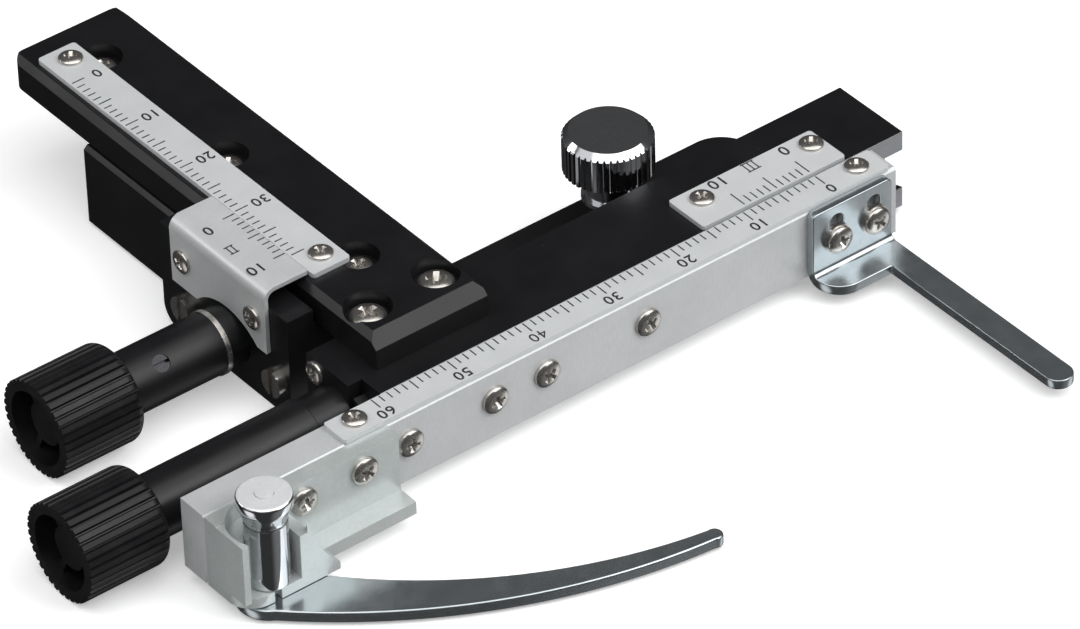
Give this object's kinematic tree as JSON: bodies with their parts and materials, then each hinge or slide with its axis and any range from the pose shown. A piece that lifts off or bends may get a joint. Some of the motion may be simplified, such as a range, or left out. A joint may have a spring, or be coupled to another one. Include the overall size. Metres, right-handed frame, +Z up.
{
  "type": "attachable mechanical microscope stage",
  "caption": "Attachable mechanical stage that clamps to a plain microscope stage and moves a glass slide along and across by side knobs, with millimetre scales and verniers.",
  "frame": {"origin": "the clamp screw's axis on the seat plane, which is the underside of the mounting arm and the base block", "axes": "+X to the right along the specimen bar, away from the knobs; +Y to the rear along the column bar; +Z up"},
  "size_m": [0.1087, 0.106, 0.0163],
  "materials": {
    "black_anodised": "satin black with fine dust",
    "knob_plastic": "ribbed black moulding",
    "scale_plate": "matte silver with black graduations",
    "bracket_steel": "satin silver sheet",
    "bar_aluminium": "fine brushed",
    "cast_block": "grey-green satin casting",
    "bright_finger": "bluish bright plated steel",
    "chrome": "polished",
    "nickel_screw": "bright nickel plate",
    "steel": "turned steel",
    "brass": "machined brass"
  },
  "bodies": {
    "base": {"base_block": "black_anodised", "mounting_arm": "black_anodised", "arm_screws": "nickel_screw", "bearing_flange": "black_anodised", "flange_screws": "nickel_screw", "y_vernier_bracket": "bracket_steel", "y_vernier_screws": "nickel_screw"},
    "column_slide": {"y_bar": "black_anodised", "y_rail": "steel", "y_rack": "brass", "y_rail_screws": "nickel_screw", "y_scale": "scale_plate", "y_scale_screws": "nickel_screw", "guide_screws": "nickel_screw", "x_guide": "black_anodised", "x_vernier_plate": "scale_plate", "x_vernier_screws": "nickel_screw", "x_end_plate": "black_anodised", "x_end_screws": "nickel_screw", "x_bearing_bush": "black_anodised", "x_tail_bush": "nickel_screw"},
    "rear_knob": {"y_pinion_shaft": "steel", "y_pinion": "brass", "y_shaft_washer": "nickel_screw", "y_knob_sleeve": "black_anodised", "y_knob_head": "knob_plastic", "y_grub_screw": "steel"},
    "specimen_slide": {"specimen_bar": "bar_aluminium", "x_tongue": "black_anodised", "x_nut": "brass", "bar_screws": "nickel_screw", "x_scale": "scale_plate", "x_scale_screws": "nickel_screw", "fixed_finger": "bright_finger", "finger_washers": "nickel_screw", "finger_screws": "nickel_screw", "clamp_block": "cast_block", "clamp_block_screws": "nickel_screw"},
    "front_knob": {"x_lead_screw": "steel", "x_knob_tube": "black_anodised", "x_knob_head": "knob_plastic"},
    "sprung_arm": {"clamp_arm": "bright_finger", "pivot_pin": "steel", "pivot_barrel": "chrome", "torsion_spring": "steel"},
    "clamp_lift": {"clamp_collar": "chrome"},
    "clamp_screw": {"thumbscrew": "chrome"}
  },
  "joints": [
    {"name": "column_travel", "type": "slide", "parent": "base", "child": "column_slide", "axis": [0, -1, 0], "range_m": [-0.0007, 0.03]},
    {"name": "rear_knob_turn", "type": "hinge", "parent": "base", "child": "rear_knob", "pos_m": [-0.0662, 0.0069, 0.0058], "axis": [1, 0, 0], "range_deg": [-17, 690]},
    {"name": "specimen_travel", "type": "slide", "parent": "column_slide", "child": "specimen_slide", "axis": [1, 0, 0], "range_m": [0, 0.05]},
    {"name": "front_knob_turn", "type": "hinge", "parent": "column_slide", "child": "front_knob", "pos_m": [-0.0761, -0.0114, 0.0058], "axis": [1, 0, 0], "range_deg": [-1802, 2]},
    {"name": "arm_swing", "type": "hinge", "parent": "specimen_slide", "child": "sprung_arm", "pos_m": [-0.0653, -0.0258, 0.0019], "axis": [0, 0, -1], "range_deg": [0, 40], "stiffness_Nm_per_rad": 0.02, "springref_deg": -20.05},
    {"name": "clamp_screw_drop", "type": "slide", "parent": "base", "child": "clamp_lift", "axis": [0, 0, -1], "range_m": [0, 0.00274]},
    {"name": "clamp_screw_turn", "type": "hinge", "parent": "clamp_lift", "child": "clamp_screw", "pos_m": [0, 0, 0.012], "axis": [0, 0, -1], "range_deg": [0, 1414]}
  ],
  "couplings": [
    {"joint": "rear_knob_turn", "follows": "column_travel", "rad_per_m": 400},
    {"joint": "front_knob_turn", "follows": "specimen_travel", "rad_per_m": -628.32},
    {"joint": "clamp_screw_turn", "follows": "clamp_screw_drop", "rad_per_m": 8976}
  ]
}
